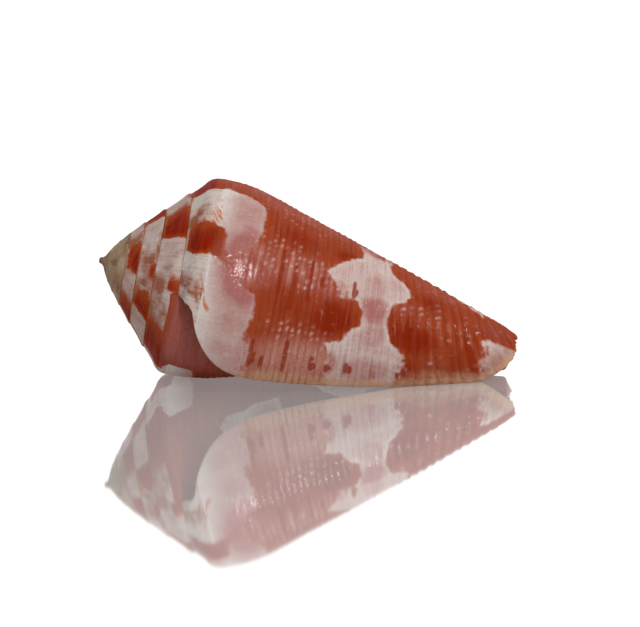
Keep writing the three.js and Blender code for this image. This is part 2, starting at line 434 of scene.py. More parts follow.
# Distance in millimetres to the line between two places
def lineDistance(share, turn, first, second):
    stretch = turnLength(share)
    x, y = (share - first[0]) * sideLength, (turn - first[1]) * stretch
    lineX, lineY = (second[0] - first[0]) * sideLength, (second[1] - first[1]) * stretch
    along = np.clip((x * lineX + y * lineY) / (lineX**2 + lineY**2), 0, 1)
    return np.hypot(x - lineX * along, y - lineY * along)


# The same to a closed outline, positive inside it
def outlineDistance(share, turn, outline):
    nearest = np.full(share.shape, np.inf)
    inside = np.zeros(share.shape, bool)
    for first, second in zip(outline, outline[1:] + outline[:1]):
        nearest = np.minimum(nearest, lineDistance(share, turn, first, second))
        crossing = (first[1] > turn) != (second[1] > turn)
        slope = (second[0] - first[0]) / (second[1] - first[1] or 1)
        inside ^= crossing & (share < first[0] + (turn - first[1]) * slope)
    return np.where(inside, nearest, -nearest)


def movedOutline(outline, share, turn, shareStretch, turnStretch):
    return tuple((share + s * shareStretch, turn + n * turnStretch) for s, n in outline)


def patchOutlines():
    outlines = [marks[name] for name in ("lipPatch", "tents", "frontPatch")]
    for moves in marks["shoulderPlaces"]:
        outlines.append(movedOutline(marks["shoulderPatch"], 0, *moves))
    for moves in marks["tentPlaces"]:
        outlines.append(movedOutline(marks["tentShape"], *moves))
    return outlines


def patchDistance(share, turn):
    distances = [outlineDistance(share, turn, outline) for outline in patchOutlines()]
    return np.clip(np.max(distances, axis=0), -farthest, farthest)


def softSpots(share, turn, spots):
    total = np.zeros(share.shape)
    for spotShare, spotTurn, shareReach, turnReach, strength in spots:
        away = np.hypot((share - spotShare) / shareReach, (turn - spotTurn) / turnReach)
        total = np.maximum(total, strength * (1 - smooth(away, marks["spotCore"], 1)))
    return total


# Spots that stand at the same place in each shoulder patch
def shoulderSpots(*spots):
    turns = [patch[0] for patch in marks["shoulderPlaces"]]
    return [(share, turn + moved, *rest) for turn in turns for share, moved, *rest in spots]


# Pink inside the patches, paler along their edges
def blushShare(share, turn, patch):
    spots = list(marks["blush"]) + shoulderSpots(*marks["shoulderBlush"])
    spotShare, spotTurn, *rest = marks["tentBlush"]
    spots += [(tent[0] + spotShare, tent[1] + spotTurn, *rest) for tent in marks["tentPlaces"]]
    onSide = smooth(share, *marks["groundShares"])
    pink = np.maximum(softSpots(share, turn, spots), marks["blushGround"] * onSide)
    return pink * lerp(lerp(*marks["blushFringes"], onSide), 1, smooth(patch, *marks["fringeWidth"]))


# Distances shrink where an edge is faded, so that it spreads
def fadedPatch(share, turn, patch):
    spots = list(marks["faded"]) + shoulderSpots(marks["shoulderFaded"])
    return patch * lerp(1, marks["fadedSlope"], softSpots(share, turn, spots))


# Rust is deepest in its own places, and beside the patches on the far side
def deepShare(share, turn, patch):
    beside = smooth(turn, *marks["farTurns"]) * (1 - smooth(-patch, *marks["besidePatch"]))
    return np.maximum(softSpots(share, turn, marks["deep"]), beside)


def dashShare(share, turn):
    total = np.zeros(share.shape)
    spiral = spiralShare(turn, share)
    for markShare, firstTurn, lastTurn in marks["dashes"]:
        middle = spiralShare((firstTurn + lastTurn) / 2, markShare)
        across = np.abs(spiral - middle) * sideLength / marks["dashWidth"]
        beyond = np.maximum(firstTurn - turn, turn - lastTurn) * turnLength(share) / marks["dashEnd"]
        line = 1 - smooth(across, marks["strokeCore"], 1)
        total = np.maximum(total, line * (1 - smooth(beyond, *marks["dashFade"])))
    return total


def ochreShare(share, turn):
    total = np.zeros(share.shape)
    for fromShare, fromTurn, toShare, toTurn, halfWidth in marks["ochre"]:
        away = lineDistance(share, turn, (fromShare, fromTurn), (toShare, toTurn))
        total = np.maximum(total, 1 - smooth(away, marks["strokeCore"] * halfWidth, halfWidth))
    return total


# Signed distance to the rust checks of the ramp, positive on the pale ground, and how deep their rust is
def rampChecks(turn, across, arc, width, checks):
    inside = np.full(turn.shape, -farthest)
    deep = np.zeros(turn.shape)
    slanted = turn + marks["rampSlant"] * (across - 0.5)
    for first, last, *sides in checks:
        low, high = sides or marks["wholeRamp"]
        crisp = (slanted - first) * arc
        soft = (last - slanted) * arc * marks["rampFade"]
        aside = np.minimum(across - low, high - across) * width
        inCheck = np.minimum(np.minimum(crisp, soft), aside)
        fading = np.clip((slanted - first) / (last - first), 0, 1)
        deep = np.where(inCheck > -marks["checkEdge"], marks["checkDeep"] - fading, deep)
        inside = np.maximum(inside, inCheck)
    return -np.clip(inside, -farthest, farthest), deep


# A number from 0 to 1 for each whole number, always the same
def scatter(number):
    return np.modf(np.abs(np.sin(number * 12.9898 + 4.1) * 43758.5453))[0]


# Spiral cords, close set on the body and coarser towards the front, with beads along them
relief = {
    "bodySpacing": 0.36,
    "frontSpacing": 0.63,
    "coarserShares": (0.45, 0.8),
    "beadSpacing": 0.4,
    "cordHeight": 0.055,
    "crestPower": 1.3,
    "cordShares": (0.13, 0.26),  # where the cords set in
    "strongShares": (0.5, 0.75),
    "faintCords": 0.25,
    "endShares": (0.95, 0.99),
    "beadHeight": 0.045,
    "beadShift": (0.3, 0.6),  # how far beads stray across and along their cord
    "beadSqueeze": (2.1, 2.0),
    "beadRound": (0.15, 0.85),
    "beadSizes": (0.2, 0.9),
    "beadShares": (0.03, 0.12),
    "growthHeight": 0.02,
    "growthWaves": (3, 7.3, 16.1, 29.7, 47.3),
    "rampEdge": 0.15,
    "lipFade": (0, 0.02),  # turns from the lip
    "backFade": (1.08, 1.12),
    "frontFade": (0.96, 0.99),
}


def cordPhase(turn, share):
    ruler = np.linspace(-0.6, 2, 2000)
    spacing = lerp(relief["bodySpacing"], relief["frontSpacing"], smooth(ruler, *relief["coarserShares"]))
    phase = np.cumsum(sideLength * (ruler[1] - ruler[0]) / spacing)
    return np.interp(spiralShare(turn, share), ruler, phase)


def cordHeight(turn, share):
    crest = (0.5 + 0.5 * np.cos(2 * np.pi * cordPhase(turn, share))) ** relief["crestPower"]
    strength = lerp(relief["faintCords"], 1, smooth(share, *relief["strongShares"]))
    zone = smooth(share, *relief["cordShares"]) * strength * (1 - smooth(share, *relief["endShares"]))
    return crest * zone


# Beads stand on the cords, each with its own size
def beads(turn, share):
    phase = cordPhase(turn, share)
    cord = np.rint(phase)
    along = turn * turnLength(share) / relief["beadSpacing"] + scatter(cord)
    bead = np.rint(along)
    size = scatter(bead * 7.31 + cord * 3.17)
    across = phase - cord + relief["beadShift"][0] * (scatter(size * 9) - 0.5)
    behind = along - bead + relief["beadShift"][1] * (size - 0.5)
    return np.hypot(across * relief["beadSqueeze"][0], behind * relief["beadSqueeze"][1]), size


def beadHeight(turn, share):
    away, size = beads(turn, share)
    return (1 - smooth(away, *relief["beadRound"])) * smooth(size, *relief["beadSizes"])


# Pale dots are the tips of some of the beads, partly their own pale colour, partly painted highlights where
# the beads glint
def dotAndGlintShare(turn, share):
    away, size = beads(turn, share)
    pull = marks["dotPull"] * softSpots(share, turn, marks["dots"])
    least, more = marks["dotReach"]
    return smooth(size + pull, *marks["dotChoice"]) * (1 - smooth(away, 0, least + more * size))


def growthHeight(turn, across):
    total = 0
    for wave in relief["growthWaves"]:
        total = total + np.sin(2 * np.pi * wave * turn * 4 + 3 * wave + np.sin(across * wave / 5))
    return 0.5 + 0.5 * total / len(relief["growthWaves"])


def pointsOf(piece):
    points = np.empty(len(piece.data.vertices) * 3)
    piece.data.vertices.foreach_get("co", points)
    return points.reshape(-1, 3)


# A flat grid with whole columns and rows, to be rolled onto the coil
def addSheet(name, columns, rows):
    bpy.ops.object.select_all(action="DESELECT")
    bpy.ops.mesh.primitive_grid_add(x_subdivisions=columns, y_subdivisions=rows, size=1)
    sheet = bpy.context.object
    sheet.name = name
    flat = pointsOf(sheet) + 0.5
    return sheet, np.rint(flat[:, 0] * columns), np.rint(flat[:, 1] * rows)


def roll(sheet, points):
    sheet.data.vertices.foreach_set("co", np.ascontiguousarray(points, np.float32).ravel())
    sheet.data.update()


# The number of the point at each face corner
def cornerPoints(piece):
    corners = np.empty(len(piece.data.loops), np.int32)
    piece.data.loops.foreach_get("vertex_index", corners)
    return corners


# Paint values stand on face corners, so that whorls that meet at a suture keep their own
def paint(sheet, **values):
    corners = cornerPoints(sheet)
    for name, value in values.items():
        layer = sheet.data.attributes.new(name, "FLOAT", "CORNER")
        spread = np.broadcast_to(value, len(sheet.data.vertices)).astype(np.float32)
        layer.data.foreach_set("value", np.ascontiguousarray(spread[corners]))


def paintCoordinates(sheet, turn, cord):
    layer = sheet.data.uv_layers.active or sheet.data.uv_layers.new()
    layer.name = "growth"
    spread = np.stack((turn, cord), -1)[cornerPoints(sheet)]
    layer.data.foreach_set("uv", spread.astype(np.float32).ravel())


def weigh(sheet, **heights):
    for name, height in heights.items():
        group = sheet.vertex_groups.new(name=name)
        for index in np.flatnonzero(height > 0.01):
            group.add([int(index)], float(height[index]), "REPLACE")


# The ramps of all whorls in one strip, narrowing to nothing at the apex
def makeSpire():
    columns = mesh["turnColumns"] * coil["spireTurns"]
    sheet, column, row = addSheet("spire", columns, stepRow)
    turn = columnTurn(column, np.where(column < mesh["turnColumns"], row, 0))
    narrowing = np.clip(turn - sutureEnd - coil["spireTurns"] + 1, 0, 1)[:, None]
    point = lerp(outlinePoint(turn, row), outlinePoint(turn, stepRow), narrowing)
    roll(sheet, place(turn, point))

    across = row / stepRow
    arc = 2 * np.pi * point[:, 1]
    width = np.linalg.norm(outlinePoint(turn, stepRow) - outlinePoint(turn, 0), axis=-1)
    onRamp, deep = rampChecks(turn, across, arc, width, marks["rampChecks"])
    unstained = rampChecks(turn, across, arc, width, marks["rampStains"])[0]
    shoulder = np.zeros(turn.shape)
    lastWhorl = smooth(across, *marks["shoulderBand"]) * (turn < 1 + sutureEnd)
    patch = lerp(onRamp, patchDistance(shoulder, turn), lastWhorl)
    apex = smooth(turn, *marks["apexTurns"])
    least, more = marks["rampBlush"]
    pink = least + more * scatter(np.rint(turn * 9))
    paint(
        sheet,
        painted=1,
        patch=patch,
        blush=pink * (1 - 0.6 * lastWhorl) * smooth(turn, *marks["rampBlushTurns"]),
        stain=1 - smooth(unstained, *marks["stainEdge"]),
        deep=lerp(deep, deepShare(shoulder, turn, patch), lastWhorl),
        haze=softSpots(shoulder, turn, marks["haze"]) * lastWhorl,
        ochre=ochreShare(shoulder, turn) * lastWhorl,
        seam=(1 - across) * (1 - 0.03 * apex),
        apex=apex,
        ramp=1,
    )
    paintCoordinates(sheet, turn, across * 3)
    edge = relief["rampEdge"]
    inner = smooth(across, 0, edge) * (1 - smooth(across, 1 - edge, 1)) * (1 - narrowing[:, 0])
    weigh(sheet, growth=growthHeight(turn * 0.7, across) * inner * (1 - apex))
    return sheet


# The side of the last whorl, from the shoulder to the front end and back round to the aperture
def makeSide():
    sheet, column, row = addSheet("side", mesh["turnColumns"], lastRow - stepRow)
    row = row + stepRow
    turn = columnTurn(column, row)
    roll(sheet, place(turn, outlinePoint(turn, row)))

    share = sideShare(turn, row) * smooth(row, stepRow, sideRow)
    fromLip = turn - edgeTurn(row)
    patch = patchDistance(share, turn)
    narrowMargin = 1 - smooth(fromLip, *marks["marginTurns"])
    wideMargin = 1 - smooth(fromLip, *marks["frontMarginTurns"])
    margin = lerp(narrowMargin, wideMargin, smooth(share, *marks["widerShares"]))
    paint(
        sheet,
        painted=1,
        patch=fadedPatch(share, turn, patch),
        blush=blushShare(share, turn, patch),
        stain=softSpots(share, turn, marks["tan"]),
        deep=deepShare(share, turn, patch),
        haze=softSpots(share, turn, marks["haze"]),
        # pale bead tips, partly painted highlights
        dots=dotAndGlintShare(turn, share),
        threads=softSpots(share, turn, marks["threads"]),
        dashes=dashShare(share, turn),
        ochre=ochreShare(share, turn),
        margin=margin * smooth(share, *marks["marginShares"]),
    )
    paintCoordinates(sheet, turn, cordPhase(turn, share))
    ends = smooth(fromLip, *relief["lipFade"]) * (1 - smooth(turn, *relief["backFade"]))
    ends = ends * (1 - smooth(share, *relief["frontFade"]))
    weigh(
        sheet,
        cords=cordHeight(turn, share) * ends,
        beads=beadHeight(turn, share) * ends * smooth(share, *relief["beadShares"]),
        growth=growthHeight(turn, share) * ends * smooth(row, stepRow, sideRow + 6),
    )
    return sheet


def nearWallTurn(column):
    return 1 + sutureEnd + np.asarray(column) / mesh["insideColumns"] * lip["depth"]


def insideTurn(column, row):
    return columnTurn(np.asarray(column) / mesh["insideColumns"] * rimColumn, row)


# The whorl before, where it is the near wall of the aperture
def makeNearWall():
    sheet, column, row = addSheet("nearWall", mesh["insideColumns"], lastRow - innerRow)
    row = row + innerRow
    turn = nearWallTurn(column)
    roll(sheet, place(turn, outlinePoint(turn, row)))
    paint(sheet, painted=1 - smooth(turn, 1 + sutureEnd, 1.2 + sutureEnd), blush=0.8, patch=1)
    paintCoordinates(sheet, turn, cordPhase(turn, sideShare(turn, row)))
    return sheet


def makeInside():
    sheet, column, row = addSheet("inside", mesh["insideColumns"], lastRow)
    turn = insideTurn(column, row)
    roll(sheet, place(turn, insidePoint(turn, row)))
    paintCoordinates(sheet, turn, cordPhase(turn, sideShare(turn, row)))
    return sheet


# Points round the edge of the outer lip, from the outside (step 0) to the inside
def lipRound(step, row):
    edge = edgeTurn(row)
    ahead = edge - lip["edgeStep"]
    outside = place(edge, outlinePoint(edge, row))
    inside = place(edge, insidePoint(edge, row))
    forward = unit(place(ahead, outlinePoint(ahead, row)) - outside)
    angle = (np.pi * step / lipSteps)[:, None]
    bulge = forward * np.sin(angle) * lip["thickness"] / 2 * mm
    return lerp(inside, outside, 0.5 + 0.5 * np.cos(angle)) + bulge


# The first row of the lip's edge lies on the whorl before
def makeLipEdge():
    sheet, step, row = addSheet("lipEdge", lipSteps, lastRow)
    edge = edgeTurn(row)
    onWhorl = place(np.full(row.shape, 1 + sutureEnd), outlinePoint(1 + sutureEnd, stepRow + step))
    roll(sheet, np.where(row[:, None] < 1, onWhorl, lipRound(step, row)))
    fade = 1 - step / lipSteps
    share = sideShare(0.0, row) * smooth(row, stepRow, sideRow)
    paint(sheet, painted=fade, margin=smooth(share, 0.1, 0.22), patch=1, blush=0.6)
    paintCoordinates(sheet, edge, cordPhase(edge, share))
    return sheet


def joinSheets(name, sheets):
    bpy.ops.object.select_all(action="DESELECT")
    for sheet in sheets:
        sheet.select_set(True)
    bpy.context.view_layer.objects.active = sheets[0]
    bpy.ops.object.join()
    joined = bpy.context.object
    joined.name = joined.data.name = name
    bpy.ops.object.mode_set(mode="EDIT")
    bpy.ops.mesh.select_all(action="SELECT")
    bpy.ops.mesh.remove_doubles(threshold=mesh["mergeDistance"])
    bpy.ops.mesh.select_mode(type="EDGE")
    return joined


# Selects the edges that run along each chain of points
def selectChains(piece, *chains):
    bpy.ops.mesh.select_all(action="DESELECT")
    work = bmesh.from_edit_mesh(piece.data)
    work.verts.ensure_lookup_table()
    tree = kdtree.KDTree(len(work.verts))
    for vert in work.verts:
        tree.insert(vert.co, vert.index)
    tree.balance()
    for chain in chains:
        verts = [work.verts[tree.find(point)[1]] for point in chain]
        for first, second in zip(verts, verts[1:]):
            edge = work.edges.get((first, second)) or work.edges.new((first, second))
            edge.select_set(True)
    bmesh.update_edit_mesh(piece.data)


# Points of a sheet along one row or one column
def sideChain(first, last):
    turn = columnTurn(np.arange(first, last + 1), lastRow)
    return place(turn, outlinePoint(turn, lastRow))


def insideChain(columns, rows):
    turn = insideTurn(columns, rows)
    return place(turn, insidePoint(turn, rows))


def nearWallChain(columns, rows):
    turn = nearWallTurn(columns)
    return place(turn, outlinePoint(turn, rows))


def onAxis(height):
    return Vector(place(0.0, np.array((height, 0.0))))


# The front rim, the tip of the columella and the far end of the aperture
def closeFront(piece):
    lastColumn = mesh["insideColumns"]
    columns = np.arange(lastColumn + 1)
    outerCorner = sideChain(rimColumn, rimColumn)
    insideCorner = insideChain([lastColumn], [lastRow])
    nearCorner = nearWallChain([lastColumn], [lastRow])
    rimEnd = np.concatenate((outerCorner, insideCorner))
    wallGap = np.concatenate((insideCorner, nearCorner))

    lipChain = lipRound(np.arange(lipSteps + 1), lastRow)
    selectChains(piece, sideChain(0, rimColumn), rimEnd, insideChain(columns, lastRow), lipChain)
    bpy.ops.mesh.fill(use_beauty=True)

    rows = np.arange(lastRow + 1)
    selectChains(piece, insideChain(lastColumn, rows), wallGap, nearWallChain(lastColumn, rows[innerRow:]))
    bpy.ops.mesh.fill(use_beauty=True)

    frontChain = sideChain(rimColumn, mesh["turnColumns"])
    selectChains(piece, frontChain, nearWallChain(columns, lastRow), wallGap, rimEnd)
    bpy.ops.mesh.edge_face_add()
    bpy.ops.mesh.poke()
    work = bmesh.from_edit_mesh(piece.data)
    tip = max((vert for vert in work.verts if vert.select), key=lambda vert: len(vert.link_edges))
    tip.co = onAxis(float(frontHeight(1.0)) + lip["columellaTip"])
    bmesh.update_edit_mesh(piece.data)


# The pointed first whorls, drawn up from the ring that the strip ends in: radius and height
nipple = {
    "steps": (
        (0.5, 0.41), (0.34, 0.33), (0.24, 0.24), (0.19, 0.14), (0.175, 0.06), (0.13, 0.015), (0.06, 0),
    ),
    "paintReach": 1.1,
}


def closeApex(piece):
    columns = mesh["turnColumns"]
    ringTurns = sutureEnd + coil["spireTurns"] - 1 + np.arange(columns + 1) / columns
    narrowing = np.clip(ringTurns - ringTurns[0], 0, 1)[:, None]
    ring = lerp(outlinePoint(ringTurns, 0), outlinePoint(ringTurns, stepRow), narrowing)
    selectChains(piece, place(ringTurns, ring))
    height, radius = ring[:, 0].mean(), ring[:, 1].mean()
    for nextRadius, nextHeight in nipple["steps"]:
        centre = onAxis(height)
        bpy.ops.mesh.extrude_edges_move()
        bpy.ops.transform.resize(value=(nextRadius / radius,) * 3, center_override=centre)
        bpy.ops.transform.translate(value=onAxis(nextHeight) - centre)
        height, radius = nextHeight, nextRadius
    bpy.ops.mesh.merge(type="CENTER")


def finishMesh(piece):
    bpy.ops.mesh.select_all(action="SELECT")
    bpy.ops.mesh.normals_make_consistent(inside=False)
    bpy.ops.object.mode_set(mode="OBJECT")
    for group, height in (("cords", "cordHeight"), ("beads", "beadHeight"), ("growth", "growthHeight")):
        modifier = piece.modifiers.new(group, "DISPLACE")
        modifier.vertex_group = group
        modifier.mid_level = 0
        modifier.strength = relief[height] * mm
        bpy.ops.object.modifier_apply(modifier=modifier.name)
    for vert in piece.data.vertices:
        vert.co.z = max(vert.co.z, 0)  # flat where it rests
    bpy.ops.object.shade_smooth_by_angle(angle=mesh["smoothAngle"])


def reportMesh(piece):
    work = bmesh.new()
    work.from_mesh(piece.data)
    openEdges = sum(len(edge.link_faces) != 2 for edge in work.edges)
    triangles = sum(len(face.verts) - 2 for face in work.faces)
    volume = round(work.calc_volume(signed=True) / mm**3, 1)
    work.free()
    print("shell mesh:", triangles, "triangles,", openEdges, "open edges, volume", volume)


def makeShell():
    sheets = [makeSide(), makeSpire(), makeNearWall(), makeInside(), makeLipEdge()]
    print("sheets rolled")
    shell = joinSheets("coneShell", sheets)
    closeFront(shell)
    closeApex(shell)
    finishMesh(shell)
    reportMesh(shell)
    return shell


def plug(socket, value):
    if isinstance(value, bpy.types.NodeSocket):
        socket.id_data.links.new(value, socket)
    else:
        socket.default_value = value


# A node with its inputs, by name or number, and its settings
def addNode(tree, kind, inputs=None, **settings):
    node = tree.nodes.new(kind)
    for name, value in settings.items():
        setattr(node, name, value)
    for name, value in (inputs or {}).items():
        plug(node.inputs[name], value)
    return node


# Nodes by short names, each in the tree of the socket that it reads
def maths(operation, first, second):
    inputs = {0: first, 1: second}
    return addNode(first.id_data, "ShaderNodeMath", inputs, operation=operation).outputs[0]


def times(first, *others):
    for other in others:
        first = maths("MULTIPLY", first, other)
    return first


def plus(first, second):
    return maths("ADD", first, second)


def ease(value, low, high, start=0, end=1):
    inputs = dict(enumerate((value, low, high, start, end)))
    node = addNode(value.id_data, "ShaderNodeMapRange", inputs, interpolation_type="SMOOTHSTEP")
    return node.outputs[0]


def noise(vector, scale, detail):
    inputs = {"Vector": vector, "Scale": scale, "Detail": detail, "Roughness": grainRoughness}
    return maths("SUBTRACT", addNode(vector.id_data, "ShaderNodeTexNoise", inputs).outputs["Fac"], 0.5)


# Colours as they are seen on a screen
tones = {
    "rust": (134, 33, 0),
    "spireRust": (140, 27, 0),
    "checkRim": (178, 74, 24),
    "brick": (152, 62, 32),
    "haze": (164, 92, 82),
    "hazeBar": (196, 142, 124),
    "white": (214, 204, 196),
    "pink": (168, 106, 101),
    "stain": (156, 96, 74),
    # pale bead tips, partly painted highlights
    "dotAndGlint": (220, 178, 164),
    "thread": (186, 110, 84),
    # painted shade between the cords
    "dash": (142, 44, 8),
    "ochre": (190, 98, 34),
    "margin": (198, 154, 122),
    "apex": (154, 130, 98),
    "apexSpot": (124, 88, 76),
    "apexPale": (182, 160, 138),
    "seam": (158, 104, 60),
    # painted shade in the suture crevices
    "suture": (92, 50, 28),
    "grooveShade": (112, 34, 12),
    "grime": (104, 52, 38),
    "inside": (206, 178, 168),
}

# How strong each layer of the glaze is
finish = {
    "ragged": (0.45, 0.3),  # coarse and finer, along the edges of the patches
    "streaks": 2.2,  # how uneven the rust is
    "clouds": 1.1,
    "rim": 0.55,  # of orange round the rust, and the share of it off the ramp
    "sideRim": 0.35,
    "hazeColumns": 1.2,
    "bars": 0.5,
    "lowPale": 0.4,  # by the lip
    "blushGrain": 0.6,
    "blushLines": 0.45,
    "dashes": 0.85,
    "threads": 0.8,
    "dots": 0.72,
    "ochre": 0.85,
    "margin": 0.8,
    "worn": 0.88,
    "seam": 0.7,
    # painted shade in the suture crevices
    "suture": 0.7,
    # painted shade between the cords, on the body and at the front
    "grooveShades": (0.15, 0.5),  # on the body and at the front
    "paleGrooveShade": 0.3,  # of that, on the patches
    "grime": 0.3,
    "paleGrime": 0.5,
    "roughness": (0.26, 0.38),
    "bump": 0.6,
    "sparkle": 0.8,  # bump of the coat, which breaks up the glint
    "bumpDistance": 0.00004,
}

# The coat alone has a glint: the shell under it is dull
gloss = {"Specular IOR Level": 0, "Coat Weight": 0.08, "Coat Roughness": 0.08}

grainRoughness = 0.55

# Grain by place in the shell: scale and detail
evenGrain = {
    "coarse": (900, 3),
    "middling": (2600, 3),
    "cloud": (700, 3),
    "worn": (1100, 3),
    "polish": (2500, 3),
    "fine": (6500, 2),
    "pits": (4200, 2),
}

# Grain along the growth: scale along a turn, scale across the cords, and detail
growthGrain = {
    "streak": (7, 0.9, 4),
    "columns": (9, 2.3, 2),
    "bar": (20, 0.9, 3),
    "lines": (260, 0.4, 2),
    "wander": (60, 1, 3),
    "growthLines": (220, 0.1, 3),
    "spiralThreads": (10, 4, 2),
}


# What the glaze knows of a point, by name: its paint, grain, turn, cord, and distance from a wavy cord
def readPoint(tree, layers):
    inShell = addNode(tree, "ShaderNodeTexCoord").outputs["Object"]
    growth = addNode(tree, "ShaderNodeUVMap", uv_map="growth").outputs["UV"]
    split = addNode(tree, "ShaderNodeSeparateXYZ", {0: growth})
    here = SimpleNamespace(turn=split.outputs["X"], cord=split.outputs["Y"])
    for name in [layer.name for layer in layers if layer.data_type == "FLOAT"]:
        setattr(here, name, addNode(tree, "ShaderNodeAttribute", attribute_name=name).outputs["Fac"])
    for name, (scale, detail) in evenGrain.items():
        setattr(here, name, noise(inShell, scale, detail))
    for name, (along, across, detail) in growthGrain.items():
        scaled = addNode(tree, "ShaderNodeMapping", {"Vector": growth, "Scale": (along, across, 1)})
        setattr(here, name, noise(scaled.outputs["Vector"], 1, detail))
    wavy = plus(here.cord, times(here.wander, 0.5))
    here.fromCord = maths("PINGPONG", wavy, 0.5)
    return here


def linear(value):
    value /= 255
    return value / 12.92 if value <= 0.04045 else ((value + 0.055) / 1.055) ** 2.4


# Mixes two colours, each from a node or by its name
def tint(share, first, second):
    inputs = {0: share, 6: first, 7: second}
    for slot in (6, 7):
        if isinstance(inputs[slot], str):
            inputs[slot] = (*map(linear, tones[inputs[slot]]), 1)
    return addNode(share.id_data, "ShaderNodeMix", inputs, data_type="RGBA").outputs[2]


# Rust from brick to deep, with streaks along the cords, orange edges, and pale bars where it is hazy
def rustField(here, edge):
    uneven = plus(times(here.streak, finish["streaks"]), times(here.cloud, finish["clouds"]))
    deep = plus(here.deep, uneven)
    field = tint(deep, "brick", "rust")
    field = tint(times(here.ramp, ease(deep, 0.1, 0.9)), field, "spireRust")
    rimShare = ease(here.ramp, 0, 1, finish["sideRim"], 1)
    rimShare = times(ease(edge, -0.4, -0.02, 0, finish["rim"]), rimShare)
    field = tint(rimShare, field, "checkRim")

    hazeShare = plus(here.haze, times(here.columns, finish["hazeColumns"]))
    hazeShare = times(hazeShare, ease(here.streak, -0.2, 0.15, 0.5, 1))
    field = tint(hazeShare, field, "haze")
    barred = times(here.haze, ease(here.turn, 0.85, 0.95, 1, 0))
    paleBar = ease(here.bar, -0.02, 0.16, 0, finish["bars"])
    rustBar = ease(here.bar, -0.18, -0.02, finish["bars"], 0)
    lowPale = ease(here.turn, 0.09, 0.13, finish["lowPale"], 0)
    for share, name in ((paleBar, "hazeBar"), (rustBar, "rust"), (lowPale, "hazeBar")):
        field = tint(times(barred, share), field, name)
    return field


# White patches, blushed pink inside, with growth lines, faint columns and stains
def palePatches(here):
    bars = times(here.columns, ease(here.cord, 39, 46, 0.1, 0.7))
    lines = times(here.lines, ease(here.ramp, 0, 1, 0.5, 1))
    blush = plus(here.blush, times(here.coarse, finish["blushGrain"]))
    blush = plus(blush, plus(bars, times(lines, finish["blushLines"])))
    patch = tint(blush, "white", "pink")
    smear = ease(plus(lines, here.middling), -0.1, 0.35, 0.2, 0.75)
    stain = plus(here.stain, times(here.ramp, smear))
    stain = times(stain, ease(here.coarse, -0.2, 0.15, 0.35, 0.9))
    return tint(stain, patch, "stain")


# Dashes, threads and dots along the cords, the dots partly painted highlights, ochre strokes, and the tan
# margin of the lip
def addMarks(here, tone):
    dashEdge = plus(here.dashes, times(here.middling, 0.6))
    thread = ease(here.fromCord, 0.05, 0.14, finish["threads"], 0)
    thread = times(here.threads, times(thread, ease(here.streak, -0.12, 0.08)))
    rim = plus(here.margin, times(plus(here.columns, here.coarse), 0.5))
    rim = times(ease(rim, 0.1, 1, 0, finish["margin"]), ease(here.margin, 0, 0.3))
    layers = (
        (ease(dashEdge, 0.2, 0.8, 0, finish["dashes"]), "dash"),
        (thread, "thread"),
        # pale bead tips, partly painted highlights
        (times(here.dots, finish["dots"]), "dotAndGlint"),
        (times(here.ochre, finish["ochre"]), "ochre"),
        (rim, "margin"),
    )
    for share, name in layers:
        tone = tint(share, tone, name)
    return tone


# The worn, olive first whorls, the thread along the sutures, a dark line of painted shade in each suture,
# painted shade between the cords, and fine grime
def addWear(here, tone, pale):
    early = tint(ease(here.worn, 0, 0.12), "apex", "apexSpot")
    early = tint(ease(here.coarse, 0.02, 0.14, 0, 0.8), early, "apexPale")
    wornEdge = plus(here.apex, plus(here.coarse, here.middling))
    tone = tint(ease(wornEdge, 0.15, 0.8, 0, finish["worn"]), tone, early)
    thread = times(ease(here.seam, 0.88, 0.93, 0, finish["seam"]), ease(here.coarse, -0.15, 0.15))
    tone = tint(thread, tone, "seam")
    # painted shade: a dark line in the crevice of each suture
    tone = tint(ease(here.seam, 0.96, 0.985, 0, finish["suture"]), tone, "suture")

    # painted shade in the hollows between the cords: none on the ramp, fainter on the pale patches
    grooveShade = times(
        ease(here.fromCord, 0.2, 0.48),
        ease(here.cord, 36, 50, *finish["grooveShades"]),
        ease(here.bar, -0.15, 0.15),
        ease(here.ramp, 0, 0.5, 1, 0),
        ease(pale, 0, 1, 1, finish["paleGrooveShade"]),
    )
    tone = tint(grooveShade, tone, "grooveShade")
    grimy = ease(here.fine, -0.05, 0.25, 0, finish["grime"])
    grimy = times(grimy, ease(pale, 0, 1, 1, finish["paleGrime"]))
    return tint(grimy, tone, "grime")


def addBump(socket, strength, height):
    inputs = {"Strength": strength, "Distance": finish["bumpDistance"], "Height": height}
    bump = addNode(socket.id_data, "ShaderNodeBump", inputs)
    plug(socket, bump.outputs["Normal"])


def makeGlaze(layers):
    material = bpy.data.materials.new("glazedShell")
    material.use_nodes = True
    tree = material.node_tree
    surface = tree.nodes["Principled BSDF"]
    here = readPoint(tree, layers)

    # the pale patches have ragged edges
    coarser, finer = finish["ragged"]
    edge = plus(here.patch, plus(times(here.coarse, coarser), times(here.middling, finer)))
    pale = ease(edge, -0.08, 0.09)
    tone = tint(pale, rustField(here, edge), palePatches(here))
    tone = addWear(here, addMarks(here, tone), pale)
    tone = tint(here.painted, "inside", tone)
    plug(surface.inputs["Base Color"], tone)

    # a glossy glaze, over growth lines and spiral threads too fine for the mesh
    plug(surface.inputs["Roughness"], ease(here.polish, -0.2, 0.2, *finish["roughness"]))
    for name, value in gloss.items():
        surface.inputs[name].default_value = value
    threads = plus(times(here.growthLines, 0.6), here.spiralThreads)
    addBump(surface.inputs["Normal"], finish["bump"], threads)
    pitted = plus(here.pits, times(here.growthLines, 0.4))
    addBump(surface.inputs["Coat Normal"], finish["sparkle"], pitted)
    return material


